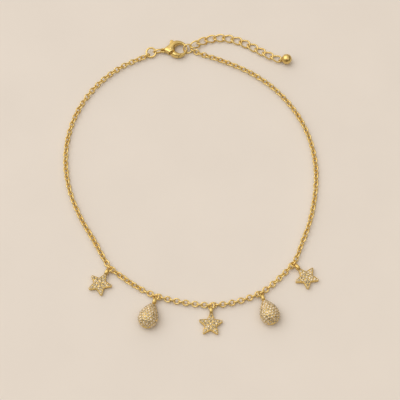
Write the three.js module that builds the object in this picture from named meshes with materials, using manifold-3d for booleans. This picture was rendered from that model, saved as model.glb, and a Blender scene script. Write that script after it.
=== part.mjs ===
// Charm necklace lying flat and closed: a fine cable chain, a lobster clasp with a sprung lever,
// an extender of curb links that ends in a ball, and five stone-set charms on jump rings.
// Millimetres, +Z up. The surface that it lies on is z = 0, and the charms hang towards -Y.

import * as THREE from "three";
import { mergeVertices } from "three/addons/utils/BufferGeometryUtils.js";
import Module from "manifold-3d";

const wasm = await Module();
wasm.setup();

// Chain: links on edge and flat in turn, drawn as a tube of the links' width between its true links
const CHAIN = { length: 2.66, width: 2.1, wire: 0.46, links: 180, axisHeight: 1.06 };
const TUBE_SIDES = 8;
const TUBE_STEP = 5.6;
const HALVES_GAP = 0.3;
// How far the middles of the first and last links lie from the wires of the rings that they hang on
const FIRST_LINK_INSET = 0.3;
const LAST_LINK_INSET = 0.4;
// The link after which the left run ends and the right run begins
const MEETING_LINK = 94;

// Middle line of the chain between its two end rings, clockwise from the clasp ring: [x, y]
const CHAIN_ROUTE = [
  [-31.2, 53.0], [-41.0, 44.0], [-48.1, 32.8], [-52.2, 20.1], [-53.1, 6.8], [-51.0, -6.4],
  [-46.2, -18.8], [-39.7, -30.5], [-36.0, -37.3], [-33.1, -42.0], [-28.6, -45.9], [-22.5, -50.3],
  [-14.8, -54.5], [-5.0, -57.3], [7.6, -58.9], [18.5, -57.5], [28.8, -53.4], [36.4, -47.0],
  [42.7, -39.7], [45.9, -32.0], [49.9, -20.8], [52.5, -7.7], [53.0, 5.6], [50.6, 18.7],
  [45.2, 30.9], [37.2, 41.5], [26.9, 50.0], [15.0, 56.1], [4.2, 60.3],
];

// Facets of round wire and of the loops bent from it
const WIRE_SIDES = 5;
const LINK_SIDES = 10;
const RING_SIDES = 12;

// Plain jump rings: mean radius and wire
const CLASP_RING = {
  radius: 2.05, wire: 0.7, centre: [-17.6, 60.74, 1.5], tilt: 18, chainAngle: -136, claspAngle: 12,
};
const END_RING = {
  radius: 1.9, wire: 0.56, lean: 40, reach: 10.66, height: 1.52, chainAngle: -20, extenderAngle: 26,
};
const CHARM_RING = { radius: 1.27, wire: 0.46, drop: 0.6, lean: 29 };
const CLASP_LINK = { length: 4.7, width: 2.8, wire: 0.46 };

// Lobster clasp, in its own frame: x from the eye to the nose, y across, lying flat
const CLASP = {
  origin: [-12.17, 61.75], turn: 5, thickness: 2.8,
  base: { x: 1.4, radius: 0.85 }, head: { x: 7.1, radius: 3.7 }, hole: { x: 7.25, radius: 2.35 },
  bevel: 0.55, noseThickness: 0.85, taperFrom: 4.0, nose: 10.8,
  eye: { x: -0.15, radius: 0.85, wire: 0.7 },
  pivotX: 3.3, pinRadius: 0.45, pinHole: 0.6,
  cheekRadius: 1.9, hookRadius: 5.35, gateClearance: 0.15,
  slotHeight: 1.1, slotRadius: 2.1, slotMouth: 3.2,
};
// The lever's plate runs in the slot: its gate lies below the ray at gateTop degrees from the pivot
const LEVER = {
  plate: 0.8, hub: 1.5, gateTop: -34, gateFoot: 2.7, nubAngle: 78, nubReach: 4.3, nubWidth: 1.0,
};

// Extender: curb links, each twisted so that its two ends cross its neighbours'
const CURB = {
  length: 5.45, width: 3.7, wire: 0.58, twist: 0.55, links: 11, pitch: 3.93, ringGap: 0.72, sides: 14,
};
// Middle line of the extender from the end ring to the ball: [x, y, z]
const EXTENDER_ROUTE = [
  [5.5, 66.9, 1.05], [9.5, 68.2, 0.85], [13.5, 68.6, 0.85], [17.5, 68.1, 0.85], [21.2, 66.9, 0.85],
  [24.8, 65.2, 0.85], [28.1, 63.3, 0.85], [31.4, 61.2, 0.85], [34.6, 59.3, 0.87], [37.8, 57.7, 0.95],
  [42.4, 55.6, 1.2],
];
const BALL = {
  radius: 2.1, height: 2.14, loopRadius: 0.85, loopWire: 0.5, loopHeight: 1.14, loopOut: 2.7, hookIn: 0.06,
};

// Charms: a bail stands on edge at the top of each, and the ring runs through it
const BAIL = { length: 3.26, width: 2.56, wire: 0.46, out: 2.65, height: 1.55 };
const STONE = { facets: 8, table: 0.58, crown: 0.3, sunk: 0.3 };
const STAR = {
  centreOut: 8.7, points: 5, point: 5.5, notch: 2.5, pointFillet: 0.45, thickness: 1.7, bevel: 0.2,
};
// Stones of a star: how many to a ring, how far from its middle, and the stone's radius
const STAR_STONES = [
  { count: 1, out: 0, radius: 0.75 },
  { count: 5, out: 1.65, radius: 0.62 },
  { count: 5, out: 3.0, radius: 0.6 },
  { count: 5, out: 4.1, radius: 0.36 },
];
const DROP = {
  tipOut: 3.75, length: 11.2, width: 8.0, front: 3.4, back: 2.6, blunt: 0.8,
  tipHeight: 1.55, bellyHeight: 2.4,
};
const DROP_STONE_RADIUS = 0.68;
// Stones of a drop in rows across its front: degrees from the tip to the row, and stones in it
const DROP_ROWS = [
  { at: 42, stones: 1 }, { at: 57, stones: 2 }, { at: 72, stones: 3 }, { at: 88, stones: 4 },
  { at: 104, stones: 5 }, { at: 120, stones: 4 }, { at: 137, stones: 3 }, { at: 155, stones: 2 },
];
const DROP_STONE_PITCH = 1.72;

// Where each charm hangs: the chain link that its ring goes through, how far it swings from straight
// down in degrees, and to which side of that link its ring leans
const CHARMS = [
  { name: "star_left", link: 64, swing: -34, side: 1 },
  { name: "drop_left", link: 76, swing: -12, side: 1 },
  { name: "star_centre", link: 88, swing: 1, side: 1 },
  { name: "drop_right", link: 100, swing: 16, side: -1 },
  { name: "star_right", link: 110, swing: 40, side: -1 },
];

const GOLD = new THREE.MeshStandardMaterial({ color: 0xd9a441, metalness: 1, roughness: 0.22 });
const STONE_SET_GOLD = new THREE.MeshStandardMaterial({
  color: 0xe6cda2, metalness: 0.7, roughness: 0.18,
});

const UP = new THREE.Vector3(0, 0, 1);
const rad = THREE.MathUtils.degToRad;
const vec = (x, y, z = 0) => new THREE.Vector3(x, y, z);

function polar(radius, degrees) {
  return vec(radius * Math.cos(rad(degrees)), radius * Math.sin(rad(degrees)));
}

// Closed mesh as a solid for joining and cutting, placed by a matrix
function solidOf(geometry, matrix = new THREE.Matrix4()) {
  const bare = geometry.clone();
  bare.deleteAttribute("normal");
  bare.deleteAttribute("uv");
  const merged = mergeVertices(bare, 1e-5);
  merged.applyMatrix4(matrix);
  const vertProperties = new Float32Array(merged.attributes.position.array);
  const triVerts = new Uint32Array(merged.index.array);
  return new wasm.Manifold(new wasm.Mesh({ numProp: 3, vertProperties, triVerts }));
}

function geometryOf(solid) {
  const mesh = solid.getMesh();
  const geometry = new THREE.BufferGeometry();
  geometry.setAttribute("position", new THREE.BufferAttribute(new Float32Array(mesh.vertProperties), 3));
  geometry.setIndex(new THREE.BufferAttribute(new Uint32Array(mesh.triVerts), 1));
  geometry.computeVertexNormals();
  return geometry;
}

const joined = (solids) => solids.reduce((whole, solid) => whole.add(solid));
const shifted = (x, y, z) => new THREE.Matrix4().makeTranslation(x, y, z);

// Frame of a bent wire loop: x runs along it, and z is the axis of its hole, made square to x
function loopFrame(centre, along, hole) {
  const x = along.clone().normalize();
  const z = hole.clone().addScaledVector(x, -hole.dot(x)).normalize();
  const y = new THREE.Vector3().crossVectors(z, x);
  return new THREE.Matrix4().makeBasis(x, y, z).setPosition(centre);
}

// Centre line of a link: an oval that rises and falls twice a turn where the link is twisted
class LinkLine extends THREE.Curve {
  constructor(halfLength, halfWidth, twist) {
    super();
    Object.assign(this, { halfLength, halfWidth, twist });
  }

  getPoint(t, target = new THREE.Vector3()) {
    const turn = 2 * Math.PI * t;
    const x = this.halfLength * Math.cos(turn);
    const y = this.halfWidth * Math.sin(turn);
    return target.set(x, y, this.twist * Math.sin(2 * turn));
  }
}

function linkGeometry({ length, width, wire, twist = 0 }, sides = LINK_SIDES) {
  const line = new LinkLine((length - wire) / 2, (width - wire) / 2, twist);
  return new THREE.TubeGeometry(line, sides, wire / 2, WIRE_SIDES, true);
}

function ringGeometry({ radius, wire }) {
  return new THREE.TorusGeometry(radius, wire / 2, WIRE_SIDES, RING_SIDES);
}

const necklace = new THREE.Group();

function addMesh(name, geometry, material, matrix = new THREE.Matrix4()) {
  const mesh = new THREE.Mesh(geometry, material);
  mesh.name = name;
  mesh.applyMatrix4(matrix);
  necklace.add(mesh);
}

// Clasp ring: nearly flat, its near edge lower
const claspRingAxis = UP.clone().applyAxisAngle(vec(1, 0, 0), rad(CLASP_RING.tilt));
const claspRingFrame = loopFrame(vec(...CLASP_RING.centre), vec(1, 0, 0), claspRingAxis);
addMesh("clasp_ring", ringGeometry(CLASP_RING), GOLD, claspRingFrame);
const chainStart = polar(CLASP_RING.radius, CLASP_RING.chainAngle).applyMatrix4(claspRingFrame);
const claspLinkStart = polar(CLASP_RING.radius, CLASP_RING.claspAngle).applyMatrix4(claspRingFrame);

// Clasp frame, and the link between the clasp ring and the clasp's eye, standing on edge
const claspMiddle = CLASP.thickness / 2;
const claspFrame = new THREE.Matrix4().makeRotationZ(rad(CLASP.turn)).setPosition(...CLASP.origin, 0);
const claspLinkEnd = vec(CLASP.eye.x - CLASP.eye.radius, 0, claspMiddle).applyMatrix4(claspFrame);
const claspLinkWay = claspLinkEnd.clone().sub(claspLinkStart);
const claspLinkMiddle = claspLinkStart.clone().lerp(claspLinkEnd, 0.5);
const claspLinkFrame = loopFrame(claspLinkMiddle, claspLinkWay, vec(0, 1, 0));
addMesh("clasp_link", linkGeometry(CLASP_LINK), GOLD, claspLinkFrame);

// End ring: round the clasp's nose, leaning so that it clears the surface
const endRingSide = vec(0, Math.cos(rad(END_RING.lean)), Math.sin(rad(END_RING.lean)));
const endRingAxis = vec(1, 0, 0).cross(endRingSide);
const endRingFrame = loopFrame(vec(END_RING.reach, 0, END_RING.height), vec(1, 0, 0), endRingAxis);
endRingFrame.premultiply(claspFrame);
addMesh("end_ring", ringGeometry(END_RING), GOLD, endRingFrame);
const endRingPoint = (angle) => polar(END_RING.radius, angle).applyMatrix4(endRingFrame);
const endRingTangent = (angle) => polar(1, angle + 90).transformDirection(endRingFrame);

// Chain: middle line, and the place of each link on it
const chainEnd = endRingPoint(END_RING.chainAngle);
const chainPoints = CHAIN_ROUTE.map(([x, y]) => vec(x, y, CHAIN.axisHeight));
const route = new THREE.CatmullRomCurve3([chainStart, ...chainPoints, chainEnd], false, "catmullrom", 0.5);
route.arcLengthDivisions = 2400;
const routeLength = route.getLength();
const linkPitch = (routeLength - FIRST_LINK_INSET - LAST_LINK_INSET) / (CHAIN.links - 1);
const lastLink = CHAIN.links - 1;
const linkAt = (index) => FIRST_LINK_INSET + index * linkPitch;
const routePoint = (distance) => route.getPointAt(distance / routeLength);
const routeWay = (distance) => route.getTangentAt(distance / routeLength);

// One true link: even ones stand on edge and odd ones lie flat, unless its hole's axis is given
function chainLink(index, hole) {
  const way = routeWay(linkAt(index));
  const level = new THREE.Vector3().crossVectors(UP, way);
  const axis = hole ?? (index % 2 === 0 ? level : UP);
  return solidOf(linkGeometry(CHAIN), loopFrame(routePoint(linkAt(index)), way, axis));
}

function chainTube(from, to) {
  const steps = Math.max(2, Math.round((to - from) / TUBE_STEP));
  const stops = [];
  for (let i = 0; i <= steps; i += 1) {
    stops.push(routePoint(THREE.MathUtils.lerp(from, to, i / steps)));
  }
  const corners = [];
  for (let i = 0; i < TUBE_SIDES; i += 1) {
    const { x, y } = polar(CHAIN.width / 2, ((i + 0.5) * 360) / TUBE_SIDES);
    corners.push(new THREE.Vector2(x, y));
  }
  const section = new THREE.Shape(corners);
  const extrudePath = new THREE.CatmullRomCurve3(stops);
  return solidOf(new THREE.ExtrudeGeometry(section, { steps, extrudePath, bevelEnabled: false }));
}

// A run of chain: tubes broken by three true links wherever a charm hangs
function chainRun(from, to, charmLinks) {
  const halfBreak = 1.5 * linkPitch;
  const solids = [];
  let start = from;
  for (const link of charmLinks) {
    solids.push(chainTube(start, linkAt(link) - halfBreak));
    solids.push(chainLink(link - 1), chainLink(link), chainLink(link + 1));
    start = linkAt(link) + halfBreak;
  }
  solids.push(chainTube(start, to));
  return solids;
}

const endLinkHole = endRingTangent(END_RING.chainAngle);
const endLinkNextHole = new THREE.Vector3().crossVectors(routeWay(linkAt(lastLink)), endLinkHole);
const leftFoot = linkAt(1) + linkPitch / 2;
const rightFoot = linkAt(lastLink - 1) - linkPitch / 2;
const meeting = linkAt(MEETING_LINK);
const charmLinks = CHARMS.map((charm) => charm.link);
const leftCharms = charmLinks.filter((link) => link < MEETING_LINK);
const rightCharms = charmLinks.filter((link) => link > MEETING_LINK);
const leftRun = chainRun(leftFoot, meeting - HALVES_GAP / 2, leftCharms);
const rightRun = chainRun(meeting + HALVES_GAP / 2, rightFoot, rightCharms);
leftRun.push(chainLink(0), chainLink(1));
rightRun.push(chainLink(lastLink, endLinkHole), chainLink(lastLink - 1, endLinkNextHole));
addMesh("chain_left", geometryOf(joined(leftRun)), GOLD);
addMesh("chain_right", geometryOf(joined(rightRun)), GOLD);

// Clasp blank: a pear outline with a round hole, thinner towards the nose
function claspBlank() {
  const { base, head, hole, bevel, thickness } = CLASP;
  const lean = Math.PI / 2 + Math.asin((head.radius - base.radius) / (head.x - base.x));
  const outline = new THREE.Shape();
  outline.absarc(head.x, 0, head.radius, -lean, lean, false);
  outline.absarc(base.x, 0, base.radius, lean, 2 * Math.PI - lean, false);
  outline.holes.push(new THREE.Path().absarc(hole.x, 0, hole.radius, 0, 2 * Math.PI, true));
  const geometry = new THREE.ExtrudeGeometry(outline, {
    depth: thickness - 2 * bevel, bevelThickness: bevel, bevelSize: bevel * 0.7, bevelOffset: -bevel * 0.7,
    bevelSegments: 2, curveSegments: 8,
  });
  geometry.translate(0, 0, bevel);
  const places = geometry.attributes.position;
  for (let i = 0; i < places.count; i += 1) {
    const share = THREE.MathUtils.smoothstep(places.getX(i), CLASP.taperFrom, CLASP.nose);
    const thin = THREE.MathUtils.lerp(1, CLASP.noseThickness / thickness, share);
    places.setZ(i, claspMiddle + (places.getZ(i) - claspMiddle) * thin);
  }
  return solidOf(geometry);
}

// Flat plate about the clasp's middle plane, cut to an outline drawn round the pivot
function pivotPlate(outline, height) {
  const settings = { depth: height, bevelEnabled: false, curveSegments: 10 };
  const geometry = new THREE.ExtrudeGeometry(outline, settings);
  return solidOf(geometry, shifted(CLASP.pivotX, 0, claspMiddle - height / 2));
}

// Sector between two radii round the pivot
function sector(inner, outer, fromDegrees, toDegrees) {
  const outline = new THREE.Shape();
  outline.absarc(0, 0, outer, rad(fromDegrees), rad(toDegrees), false);
  outline.absarc(0, 0, inner, rad(toDegrees), rad(fromDegrees), true);
  return outline;
}

function pivotDisc(radius, height) {
  return pivotPlate(new THREE.Shape().absarc(0, 0, radius, 0, 2 * Math.PI, false), height);
}

const blank = claspBlank();
const overThick = CLASP.thickness + 1;

// Clasp body: the gate's path and the lever's slot are cut out of the blank, and the pin spans the slot
function claspBody() {
  const { cheekRadius, hookRadius, slotRadius, slotMouth, slotHeight, eye } = CLASP;
  const gatePath = pivotPlate(sector(cheekRadius, hookRadius, -110, -5), overThick);
  const slotOutline = new THREE.Shape();
  slotOutline.absarc(0, 0, slotMouth, rad(60), rad(130), false);
  slotOutline.absarc(0, 0, slotRadius, rad(130), rad(420), false);
  const slot = pivotPlate(slotOutline, slotHeight);
  const pin = pivotDisc(CLASP.pinRadius, CLASP.thickness - 2 * CLASP.bevel);
  const eyeLoop = solidOf(ringGeometry(eye), shifted(eye.x, 0, claspMiddle));
  return blank.subtract(gatePath).subtract(slot).add(pin).add(eyeLoop);
}

// Lever: the gate is the blank's own side, carried by a plate that turns on the pin and ends in a nub
function claspLever() {
  const { cheekRadius, hookRadius, gateClearance } = CLASP;
  const { plate, hub, gateTop, gateFoot, nubAngle, nubReach, nubWidth } = LEVER;
  const gateOutline = sector(cheekRadius + gateClearance, hookRadius - gateClearance, -105, gateTop);
  const gate = blank.intersect(pivotPlate(gateOutline, overThick));
  const foot = pivotPlate(sector(0.3, gateFoot, -75, gateTop - 4), plate);
  const nubOutline = new THREE.Shape();
  nubOutline.absarc(nubReach - nubWidth / 2, 0, nubWidth / 2, -Math.PI / 2, Math.PI / 2, false);
  nubOutline.lineTo(0, nubWidth / 2);
  nubOutline.lineTo(0, -nubWidth / 2);
  const nubGeometry = new THREE.ExtrudeGeometry(nubOutline, { depth: plate, bevelEnabled: false });
  nubGeometry.rotateZ(rad(nubAngle));
  const nub = solidOf(nubGeometry, shifted(CLASP.pivotX, 0, claspMiddle - plate / 2));
  const pinHole = pivotDisc(CLASP.pinHole, overThick);
  return joined([gate, foot, pivotDisc(hub, plate), nub]).subtract(pinHole);
}

addMesh("clasp_body", geometryOf(claspBody()), GOLD, claspFrame);
addMesh("clasp_lever", geometryOf(claspLever()), GOLD, claspFrame);

// Extender: curb links along their middle line, then the ball on its loop
const extenderStart = endRingPoint(END_RING.extenderAngle);
const extenderPoints = EXTENDER_ROUTE.map(([x, y, z]) => vec(x, y, z));
const extender = new THREE.CatmullRomCurve3([extenderStart, ...extenderPoints], false, "catmullrom", 0.5);
const extenderLength = extender.getLength();
const curbHalf = (CURB.length - CURB.wire) / 2;
const curbAt = (index) => curbHalf - CURB.ringGap + index * CURB.pitch;
for (let i = 0; i < CURB.links; i += 1) {
  const share = curbAt(i) / extenderLength;
  const frame = loopFrame(extender.getPointAt(share), extender.getTangentAt(share), UP);
  const number = String(i + 1).padStart(2, "0");
  addMesh(`extender_link_${number}`, linkGeometry(CURB, CURB.sides), GOLD, frame);
}

// The ball's loop stands on edge in the last link, and slopes up to the ball's side
const loopShare = (curbAt(CURB.links - 1) + curbHalf + BALL.hookIn) / extenderLength;
const loopMiddle = extender.getPointAt(loopShare).setZ(BALL.loopHeight);
const loopWay = extender.getTangentAt(loopShare).setZ(0).normalize();
const ballRise = BALL.height - BALL.loopHeight;
const ballReach = Math.sqrt(BALL.loopOut ** 2 - ballRise ** 2);
const ballMiddle = loopMiddle.clone().addScaledVector(loopWay, ballReach).setZ(BALL.height);
const loopHole = new THREE.Vector3().crossVectors(UP, loopWay);
const loopGeometry = ringGeometry({ radius: BALL.loopRadius, wire: BALL.loopWire });
const loopSolid = solidOf(loopGeometry, loopFrame(loopMiddle, loopWay, loopHole));
const ballSolid = solidOf(new THREE.SphereGeometry(BALL.radius, 14, 10), shifted(...ballMiddle.toArray()));
addMesh("extender_ball", geometryOf(ballSolid.add(loopSolid)), GOLD);

// Cut stone standing on z = 0: eight crown facets up to a flat table, with its foot sunk in the metal
function stoneSolid(radius, frame) {
  const { facets, table, crown, sunk } = STONE;
  const geometry = new THREE.CylinderGeometry(radius * table, radius, crown + sunk, facets);
  geometry.rotateX(Math.PI / 2);
  geometry.translate(0, 0, (crown - sunk) / 2);
  return solidOf(geometry, frame);
}

function bailSolid() {
  const frame = loopFrame(vec(0, -BAIL.out, BAIL.height), vec(0, 1, 0), vec(1, 0, 0));
  return solidOf(linkGeometry(BAIL), frame);
}

// Star: points rounded off, one of them at the bail, with stones standing on its face
function starSolid() {
  const { centreOut, point, notch, pointFillet, thickness, bevel, points } = STAR;
  const halfStep = 180 / points;
  const notchCorner = polar(notch, halfStep);
  const halfAngle = Math.atan2(notchCorner.y, point - notchCorner.x);
  const filletOut = point - pointFillet / Math.sin(halfAngle);
  const outline = new THREE.Shape();
  for (let i = 0; i < points; i += 1) {
    const way = 90 + i * 2 * halfStep;
    const middle = polar(filletOut, way);
    const open = Math.PI / 2 - halfAngle;
    outline.absarc(middle.x, middle.y, pointFillet, rad(way) - open, rad(way) + open, false);
    const corner = polar(notch, way + halfStep);
    outline.lineTo(corner.x, corner.y);
  }
  const plate = new THREE.ExtrudeGeometry(outline, {
    depth: thickness - 2 * bevel, bevelThickness: bevel, bevelSize: bevel, bevelOffset: -bevel,
    bevelSegments: 1, curveSegments: 4,
  });
  const solids = [solidOf(plate, shifted(0, -centreOut, bevel)), bailSolid()];
  for (const { count, out, radius } of STAR_STONES) {
    for (let i = 0; i < count; i += 1) {
      const place = polar(out, 90 + (360 / count) * i);
      solids.push(stoneSolid(radius, shifted(place.x, place.y - centreOut, thickness)));
    }
  }
  return joined(solids);
}

// Point of a drop's skin: t runs from the tip to the round end, and turn goes round its long axis.
// The half-width is sin t times a power of sin(t / 2), as wide as the drop at its belly.
const pearWidth = (t) => Math.sin(t) * Math.sin(t / 2) ** DROP.blunt;
const pearBelly = Math.max(...Array.from({ length: 181 }, (_, i) => pearWidth(rad(i))));

function dropPoint(t, turn) {
  const half = ((DROP.width / 2) * pearWidth(t)) / pearBelly;
  const rise = Math.sin(turn);
  const depth = (rise > 0 ? DROP.front : DROP.back) / (DROP.width / 2);
  const fullness = Math.min(1, half / (DROP.width / 2));
  const axis = THREE.MathUtils.lerp(DROP.tipHeight, DROP.bellyHeight, fullness);
  const along = DROP.tipOut + (DROP.length / 2) * (1 - Math.cos(t));
  return vec(half * Math.cos(turn), -along, Math.max(0, axis + half * depth * rise));
}

function dropSolid() {
  const skin = new THREE.SphereGeometry(1, 12, 11);
  const places = skin.attributes.position;
  for (let i = 0; i < places.count; i += 1) {
    const ball = vec(places.getX(i), places.getY(i), places.getZ(i));
    const t = Math.acos(THREE.MathUtils.clamp(ball.y, -1, 1));
    const skinPoint = dropPoint(t, Math.atan2(ball.z, ball.x));
    places.setXYZ(i, ...skinPoint.toArray());
  }
  const solids = [solidOf(skin), bailSolid()];
  const small = 0.01;
  for (const { at, stones } of DROP_ROWS) {
    const t = rad(at);
    const half = ((DROP.width / 2) * pearWidth(t)) / pearBelly;
    const spread = DROP_STONE_PITCH / (half * 0.93);
    for (let i = 0; i < stones; i += 1) {
      const turn = Math.PI / 2 + (i - (stones - 1) / 2) * spread;
      const place = dropPoint(t, turn);
      const down = dropPoint(t + small, turn).sub(place);
      const across = dropPoint(t, turn + small).sub(place);
      const outward = new THREE.Vector3().crossVectors(across, down);
      solids.push(stoneSolid(DROP_STONE_RADIUS, loopFrame(place, down, outward)));
    }
  }
  return joined(solids);
}

// Each charm hangs on a ring that stands out from its link and leans over the flat link beside it
const ringRise = Math.sqrt(CHARM_RING.radius ** 2 - CHARM_RING.drop ** 2);
const ringReach = CHARM_RING.drop + CHARM_RING.radius;
for (const { name, link, swing, side } of CHARMS) {
  const hook = routePoint(linkAt(link));
  const way = routeWay(linkAt(link));
  const outward = new THREE.Vector3().crossVectors(way, UP);
  const lean = way.clone().multiplyScalar(side).applyAxisAngle(outward, side * rad(CHARM_RING.lean));
  const ringMiddle = hook.clone().addScaledVector(outward, CHARM_RING.drop);
  ringMiddle.addScaledVector(lean, ringRise);
  const ringAxis = new THREE.Vector3().crossVectors(outward, lean);
  addMesh(`${name}_ring`, ringGeometry(CHARM_RING), GOLD, loopFrame(ringMiddle, outward, ringAxis));
  const hang = vec(0, -1, 0).applyAxisAngle(UP, rad(swing));
  const place = ringMiddle.clone().addScaledVector(outward, CHARM_RING.radius);
  place.addScaledVector(hang, -ringReach).setZ(0);
  const frame = new THREE.Matrix4().makeRotationZ(rad(swing)).setPosition(place);
  const solid = name.startsWith("star") ? starSolid() : dropSolid();
  addMesh(name, geometryOf(solid), STONE_SET_GOLD, frame);
}

export default necklace;
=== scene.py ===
"""Charm necklace lying closed on a pale surface: interlocking chain links, a lobster clasp with its
lever, a curb-link extender with an end ball, and stone-set star and drop charms on jump rings.
Lengths below are millimetres; MM turns them into Blender's metres."""

import bpy
import numpy as np
from bpy.props import FloatProperty, FloatVectorProperty, IntProperty, PointerProperty
from bpy.types import Operator, Panel, PropertyGroup
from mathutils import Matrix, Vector


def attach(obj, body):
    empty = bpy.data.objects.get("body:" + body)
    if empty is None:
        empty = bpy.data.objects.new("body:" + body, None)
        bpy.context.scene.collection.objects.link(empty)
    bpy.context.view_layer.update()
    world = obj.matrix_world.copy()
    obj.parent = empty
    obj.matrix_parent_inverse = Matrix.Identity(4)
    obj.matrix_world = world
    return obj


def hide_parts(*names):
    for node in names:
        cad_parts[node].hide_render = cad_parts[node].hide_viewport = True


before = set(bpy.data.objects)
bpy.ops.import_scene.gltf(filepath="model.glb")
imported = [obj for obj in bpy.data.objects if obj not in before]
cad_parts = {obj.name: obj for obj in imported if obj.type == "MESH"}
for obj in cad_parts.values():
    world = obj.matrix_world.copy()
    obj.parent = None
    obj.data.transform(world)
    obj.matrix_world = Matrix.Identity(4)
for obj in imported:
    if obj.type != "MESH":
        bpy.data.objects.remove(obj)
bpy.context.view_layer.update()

bl_info = {
    "name": "Charm necklace",
    "version": (1, 0, 0),
    "blender": (4, 5, 0),
    "location": "3D View > Sidebar > Necklace",
    "description": "Builds a lying charm necklace: links, clasp, extender and stone-set charms",
    "category": "Add Mesh",
}

MM = 0.001
UP = np.array([0.0, 0.0, 1.0])
ACROSS = np.array([1.0, 0.0, 0.0])
TURN = 2 * np.pi
# Angle left open at each end of a round surface, which one small face closes, in radians
POLE_GAP = 0.02
STILL_BODY = "necklace"
LEVER_BODY = "lever"

# Middle line of the chain between its two end rings, anticlockwise from the clasp ring: [x, y]
CHAIN_ROUTE = [
    [-31.2, 53.0], [-41.0, 44.0], [-48.1, 32.8], [-52.2, 20.1], [-53.1, 6.8], [-51.0, -6.4],
    [-46.2, -18.8], [-39.7, -30.5], [-36.0, -37.3], [-33.1, -42.0], [-28.6, -45.9], [-22.5, -50.3],
    [-14.8, -54.5], [-5.0, -57.3], [7.6, -58.9], [18.5, -57.5], [28.8, -53.4], [36.4, -47.0],
    [42.7, -39.7], [45.9, -32.0], [49.9, -20.8], [52.5, -7.7], [53.0, 5.6], [50.6, 18.7],
    [45.2, 30.9], [37.2, 41.5], [26.9, 50.0], [15.0, 56.1], [4.2, 60.3],
]
CHAIN_HEIGHT = 1.06
# Height above the surface to which the chain settles, and the least that a chain or curb link keeps
SETTLED_GAP = 0.01
FLOOR_GAP = 0.02
LINK_COUNT = 180
FIRST_LINK_INSET = 0.3
LAST_LINK_INSET = 0.4
# The last link of the left run
MEETING_LINK = 94
# How far the chain rolls on its own axis: [link, degrees]. It rolls less beside a charm.
CHAIN_ROLL = [[0, 0], [4, 36], [15, 40], [30, 46], [45, 54], [59, 58], [64, 30], [68, 64], [71, 62],
              [75, 18], [101, 18], [106, 40], [110, 30], [114, 54], [130, 45], [145, 34], [160, 26],
              [173, 22]]
ROLL_JITTER = 7.0
ROLL_SEED = 7
# Over so many links, each end of the chain rises from the surface to its ring
END_FADE = 6

# Plain jump rings, with the angles at which each is cut and holds its neighbours, and the clasp's link
CLASP_RING = dict(radius=2.05, wire=0.82, cut=100, centre=[-17.6, 60.74, 1.5], tilt=18, chain=-136, clasp=12)
END_RING = dict(radius=1.9, wire=0.66, cut=100, lean=40, reach=10.86, height=1.52, chain=-20, extender=26)
CHARM_RING = dict(radius=1.27, wire=0.58, cut=75, drop=0.6, lean=29)
CLASP_LINK = dict(length=4.85, width=3.0, wire=0.72)
# Width of the hairline cut in a ring, in degrees
RING_CUT = 1.6

# Edges that turn by more degrees than this stay sharp
RING_SHARP = 60
CLASP_SHARP = 50
CHARM_SHARP = 40

# Lobster clasp, in its own frame: x from the eye to the nose, y across, lying flat
CLASP_ORIGIN = [-12.17, 61.75]
CLASP_TURN = 5.0
CLASP_THICKNESS = 3.1
CLASP_NOSE_THICKNESS = 1.15
CLASP_TAPER = [4.0, 10.7]
CLASP_BASE = dict(x=1.1, radius=0.95)
CLASP_HEAD = dict(x=6.45, radius=4.2)
CLASP_HOLE = dict(x=7.45, radius=2.42)
CLASP_EYE = dict(x=-0.15, radius=0.85, wire=0.75)
PIVOT_X = 3.3
CHEEK_ANGLE = 200.0
HOOK_RADIUS = 5.3
GATE_REACH = [2.75, 5.15]
# How square the section of the hook and the gate is: 2 is an ellipse, more is squarer
SECTION_SQUARENESS = 3.0
SLOT = dict(height=1.1, radius=2.08, rounding=0.05, mouth_reach=6.5, mouth_width=3.8, mouth_angle=94)
LEVER_PLATE = 0.8
LEVER_HUB = dict(radius=1.5, rounding=0.1)
LEVER_FOOT = dict(reach=3.3, width=0.9, angle=-48)
LEVER_NUB = dict(reach=5.1, width=1.7, angle=80)
LEVER_BAR_ROUNDING = 0.2
PIN = dict(radius=0.45, shorter=0.3, rounding=0.05)
RIVET = dict(radius=0.5, height=0.14, sunk=0.09)

# Extender: middle line from the end ring to the ball, [x, y, z], and its twisted curb links
EXTENDER_ROUTE = [
    [5.5, 66.9, 1.05], [9.5, 68.2, 0.85], [13.5, 68.6, 0.85], [17.5, 68.1, 0.85], [21.2, 66.9, 0.85],
    [24.8, 65.2, 0.85], [28.1, 63.3, 0.85], [31.4, 61.2, 0.85], [34.6, 59.3, 0.87], [37.8, 57.7, 0.95],
    [42.4, 55.6, 1.2],
]
CURB = dict(length=5.6, width=4.0, wire=0.7, twist=0.55, count=11, pitch=3.93, ring_gap=0.72)
# Roll of the curb links about the extender's own line: [link, degrees]
EXTENDER_ROLL = [[1, 0], [7, 0], [9, 8], [11, 16]]
BALL = dict(radius=2.25, height=2.28, loop_radius=0.85, loop_wire=0.6, loop_height=1.2)
BALL_LOOP_OUT = 2.7
BALL_HOOK_IN = 0.06
BALL_TURN = 24.0

# Charms: the link that each ring goes through, the swing from straight down in degrees, and the side
# of that link to which its ring leans
CHARMS = {
    "star_left": dict(link=64, swing=-28, side=1),
    "drop_left": dict(link=76, swing=-18, side=1),
    "star_centre": dict(link=88, swing=-2, side=1),
    "drop_right": dict(link=100, swing=19, side=-1),
    "star_right": dict(link=110, swing=40, side=-1),
}
BAIL = dict(length=2.9, width=2.5, wire=0.56, out=2.42, height=1.55, band=2.3)
STAR = dict(out=8.2, points=5, point=5.75, notch=2.6, tip_round=0.5, notch_round=0.4)
# The star's edge from its face to its back: [inset from the outline, height]
STAR_EDGE = [[0.27, 1.56], [0.22, 1.65], [0.15, 1.7], [0.06, 1.66],
             [0.0, 1.5], [0.02, 0.3], [0.12, 0.06], [0.25, 0.0]]
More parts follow.
